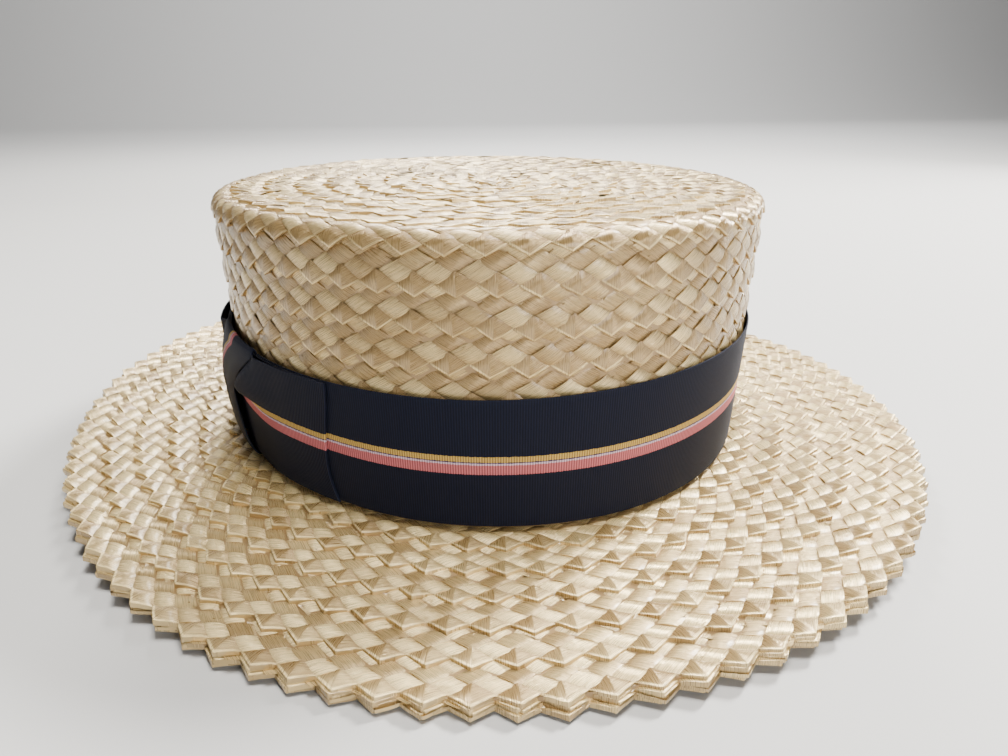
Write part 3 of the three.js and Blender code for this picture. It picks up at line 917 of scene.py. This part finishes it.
def loop_surface(side, start):
    straight = LOOP_REACH - start
    around = math.pi * LOOP_FOLD

    def surface(s, t):
        share = 1 - t / RIBBON_WIDTH
        reach = LOOP_REACH - LOOP_FOLD - FOLD_SLANT * 4 * share * (1 - share) ** 2
        turn = np.clip((s - straight) / LOOP_FOLD, 0, math.pi)
        back = np.maximum(s - straight - around, 0)
        along = start + (reach - start) * np.clip(s / straight, 0, 1) + LOOP_FOLD * np.sin(turn)
        along = along - back * (reach - start) / straight
        over = smooth(0, FOLD_RELEASE, back)
        fold_stand = LOOP_UNDER + LOOP_FOLD * (1 - np.cos(turn))
        stand = RIBBON_STAND + fold_stand * (1 - over) + over * loop_stand(along, share, side)
        bearing = bearing_along(side * along)
        points, outward = on_band(bearing, stand, LOOP_LOW + (LOOP_HIGH - LOOP_LOW) * share)
        tangent = side * np.stack([-outward[..., 1], outward[..., 0], outward[..., 2]], -1)
        return points, -np.cos(turn)[..., None] * outward + np.sin(turn)[..., None] * tangent

    return surface, 2 * straight + around


def rounded(path):
    """The path with its corners rounded, its ends kept."""
    reach = ROUNDING_STATIONS
    weights = np.exp(-np.linspace(-2, 2, 2 * reach + 1) ** 2)
    padded = np.pad(path, ((reach, reach), (0, 0)), mode="reflect", reflect_type="odd")
    return np.stack([np.convolve(padded[:, k], weights / weights.sum(), "valid") for k in (0, 1)], 1)


def knot_surface():
    stations = lengths_along(KNOT_PATH)
    fine = np.linspace(0, stations[-1], KNOT_STATIONS)
    path = rounded(np.stack([np.interp(fine, stations, KNOT_PATH[:, k]) for k in (0, 1)], 1))
    slope = np.gradient(path, axis=0)
    slope /= np.linalg.norm(slope, axis=1)[:, None]

    def surface(s, t):
        stand, z, rise_out, rise_up = (np.interp(s, fine, values) for values in (*path.T, *slope.T))
        across = 2 * t / RIBBON_WIDTH - 1
        along = knot_lean(z) + across * KNOT_HALF_WIDTH
        bulge = np.where(stand > BULGE_STAND, 1 - BULGE * across**2, 1)
        waist = np.exp(-(((z - KNOT_WAIST_Z) / PLEAT_HEIGHT) ** 2)) * (stand > PLEAT_STAND)
        pleat = PLEAT_SIZE * np.sin(PLEAT_TURN * across + PLEAT_PHASE) * waist
        points, outward = on_band(bearing_along(along), RIBBON_STAND + stand * bulge + pleat, z)
        up = np.zeros_like(points)
        up[..., 2] = 1
        return points, rise_up[..., None] * outward - rise_out[..., None] * up

    return surface, stations[-1]


def make_bow():
    for side, name, start in ((1, "rear_loop", REAR_LOOP_START), (-1, "front_loop", FRONT_LOOP_START)):
        node = "bow_" + name
        surface, length = loop_surface(side, start)
        obj = strip(name, surface, length, RIBBON_WIDTH, 21, node)
    surface, length = knot_surface()
    obj = strip("knot_wrap", surface, length, RIBBON_WIDTH, 25, "bow_knot")


make_band()
make_bow()


# The floor, lights and camera, in metres

FLOOR_COLOUR = (0.52, 0.515, 0.505)
FLOOR_HALF_WIDTH = 6.0
FLOOR_BEND = 1.5
FLOOR_BEND_STEPS = 16
BACKDROP_DISTANCE = 2.6
BACKDROP_HEIGHT = 4.0

HAT_TARGET = (0, 0, 0.04)
BACKDROP_TARGET = (0.8, 3.8, 0.9)
SKY_COLOUR = (0.86, 0.88, 0.92)
SKY_STRENGTH = 0.1

# The camera stands this far in millimetres from the middle of the crown's foot, and looks past the hat's
# front and down by these angles in radians. Its focal length is a share of the picture's width.
CAMERA_PLACE = (-48.2, -270.7, 109.7)
CAMERA_YAW, CAMERA_PITCH, CAMERA_ROLL = 0.201, 0.364, -0.004
FOCAL_SHARE = 755.3 / 1008
SENSOR_WIDTH = 36


def make_floor():
    """A pale floor that bends up into a backdrop behind the hat."""
    turns = np.linspace(0, math.pi / 2, FLOOR_BEND_STEPS + 1)
    bend = [(BACKDROP_DISTANCE + FLOOR_BEND * math.sin(a), FLOOR_BEND * (1 - math.cos(a))) for a in turns]
    profile = [(-FLOOR_HALF_WIDTH, 0.0), *bend, (BACKDROP_DISTANCE + FLOOR_BEND, BACKDROP_HEIGHT)]
    points = [(x, y, z) for y, z in profile for x in (-FLOOR_HALF_WIDTH, FLOOR_HALF_WIDTH)]
    faces = [(2 * k, 2 * k + 1, 2 * k + 3, 2 * k + 2) for k in range(len(profile) - 1)]
    mesh = bpy.data.meshes.new("floor")
    mesh.from_pydata(points, [], faces)
    mesh.polygons.foreach_set("use_smooth", [True] * len(faces))
    mesh.materials.append(Nodes("Floor", {"Base Color": (*FLOOR_COLOUR, 1), "Roughness": 0.7}).material)
    obj = bpy.data.objects.new("floor", mesh)
    bpy.context.scene.collection.objects.link(obj)


def make_light(name, place, size, power, colour, target=HAT_TARGET):
    light = bpy.data.lights.new(name, "AREA")
    light.shape = "DISK"
    light.size = size
    light.energy = power
    light.color = colour
    obj = bpy.data.objects.new(name, light)
    obj.location = place
    obj.rotation_mode = "QUATERNION"
    obj.rotation_quaternion = (Vector(target) - Vector(place)).to_track_quat("-Z", "Y")
    bpy.context.scene.collection.objects.link(obj)


def make_camera():
    camera = bpy.data.cameras.new("camera")
    camera.sensor_width = SENSOR_WIDTH
    camera.lens = SENSOR_WIDTH * FOCAL_SHARE
    camera.clip_start = 0.01
    obj = bpy.data.objects.new("camera", camera)
    forward = Vector((
        math.sin(CAMERA_YAW) * math.cos(CAMERA_PITCH),
        math.cos(CAMERA_YAW) * math.cos(CAMERA_PITCH),
        -math.sin(CAMERA_PITCH),
    ))
    level = forward.cross(Vector((0, 0, 1))).normalized()
    upright = level.cross(forward)
    c, s = math.cos(CAMERA_ROLL), math.sin(CAMERA_ROLL)
    right, up = c * level + s * upright, -s * level + c * upright
    turn = Matrix((right, up, -forward)).transposed().to_4x4()
    crown_foot = Vector((CROWN_MIDDLE[0], CROWN_MIDDLE[1], BASE_Z))
    obj.matrix_world = Matrix.Translation((crown_foot + Vector(CAMERA_PLACE)) * MM) @ turn
    bpy.context.scene.collection.objects.link(obj)
    bpy.context.scene.camera = obj


def make_world():
    world = bpy.data.worlds.new("studio")
    world.use_nodes = True
    background = world.node_tree.nodes["Background"]
    background.inputs["Color"].default_value = (*SKY_COLOUR, 1)
    background.inputs["Strength"].default_value = SKY_STRENGTH
    bpy.context.scene.world = world


make_floor()
make_light("overhead", place=(0.12, -0.22, 1.3), size=0.5, power=30, colour=(1.0, 0.98, 0.94))
make_light("from_behind", place=(0.1, 1.15, 0.95), size=0.4, power=26, colour=(1.0, 0.98, 0.93))
make_light("behind_right", place=(0.88, 0.4, 1.05), size=0.3, power=56, colour=(1.0, 0.98, 0.94))
make_light("from_front", place=(0.45, -1.2, 0.42), size=0.45, power=11, colour=(1.0, 0.98, 0.95))
make_light("low_right", place=(1.1, 0.55, 0.32), size=0.2, power=6, colour=(1.0, 0.98, 0.95))
make_light("on_backdrop", place=(0.7, 1.2, 1.7), size=1.4, power=130, colour=(1.0, 1.0, 1.0),
           target=BACKDROP_TARGET)
make_camera()
make_world()
